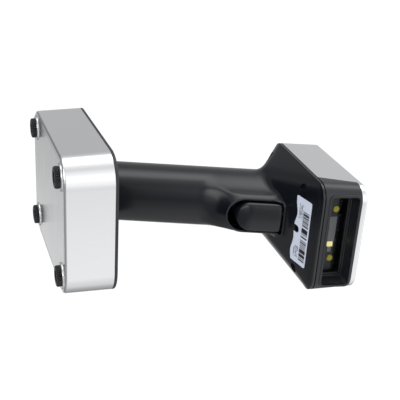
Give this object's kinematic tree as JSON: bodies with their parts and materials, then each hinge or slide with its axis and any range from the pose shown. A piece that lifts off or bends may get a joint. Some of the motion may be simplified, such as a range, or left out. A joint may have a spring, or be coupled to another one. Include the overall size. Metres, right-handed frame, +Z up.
{
  "type": "handheld barcode scanner",
  "caption": "Cordless pistol-grip barcode scanner standing on a weighted aluminium base, with a sprung trigger and a deep reading window at the front of its head.",
  "frame": {"origin": "centre of the base, on the plane that its four rubber feet stand on", "axes": "+Z up, -Y the way the reading window faces, +X to the right seen from behind the grip's back, so that X runs across the base's short side"},
  "size_m": [0.085, 0.1527, 0.1698],
  "materials": {
    "satin_aluminium": "satin",
    "black_plastic": "fine matt",
    "dark_plastic": "matt",
    "trigger_plastic": "fine matt",
    "plunger_plastic": "matt",
    "black_rubber": "matt",
    "polished_steel": "polished",
    "zinc_steel": "zinc plated",
    "spring_steel": "bright",
    "black_screws": "black oxide",
    "ballast_iron": "painted",
    "circuit_board": "solder mask",
    "lamp_board": "dark solder mask",
    "battery_wrap": "shrink sleeve",
    "wire_sleeve": "sleeve",
    "label_paper": "printed film",
    "window_glass": "clear, hard coated",
    "amber_lens": "moulded lens",
    "diffuser": "frosted",
    "lamp_phosphor": "phosphor"
  },
  "bodies": {
    "scanner_body": {"base_housing": "satin_aluminium", "bottom_plate": "satin_aluminium", "base_cover": "black_plastic", "foot_pads": "black_rubber", "foot_rings": "polished_steel", "base_screws": "zinc_steel", "base_ballast": "ballast_iron", "charge_board": "circuit_board", "charge_standoffs": "zinc_steel", "charge_socket": "zinc_steel", "grip_screws": "zinc_steel", "grip_shell": "black_plastic", "rating_label": "label_paper", "battery_cell": "battery_wrap", "battery_holder": "dark_plastic", "wiring_loom": "wire_sleeve", "trigger_pin": "zinc_steel", "switch_bracket": "dark_plastic", "switch_body": "dark_plastic", "trigger_spring": "spring_steel", "head_cover": "satin_aluminium", "front_bezel": "black_plastic", "head_screws": "black_screws", "window_glass": "window_glass", "window_gasket": "black_rubber", "led_board": "lamp_board", "led_screws": "zinc_steel", "aiming_lenses": "amber_lens", "light_bar": "diffuser", "lamp_led": "lamp_phosphor", "sensor_chip": "diffuser", "main_board": "circuit_board", "board_screws": "zinc_steel", "board_chips": "dark_plastic", "buzzer": "dark_plastic", "engine_bracket": "zinc_steel", "scan_engine": "dark_plastic", "scan_lens": "window_glass"},
    "trigger": {"trigger_button": "trigger_plastic"},
    "plunger": {"switch_plunger": "plunger_plastic"}
  },
  "joints": [
    {"name": "trigger_hinge", "type": "hinge", "parent": "scanner_body", "child": "trigger", "pos_m": [0, -0.05263, 0.1288], "axis": [1, 0, 0], "range_deg": [0, 5], "stiffness_Nm_per_rad": 0.5, "springref_deg": -6.88, "deforming": ["trigger_spring"]},
    {"name": "plunger_slide", "type": "slide", "parent": "scanner_body", "child": "plunger", "axis": [0, 0.9397, 0.342], "range_m": [0, 0.00131]}
  ],
  "couplings": [
    {"joint": "plunger_slide", "follows": "trigger_hinge", "m_per_rad": 0.014897}
  ]
}
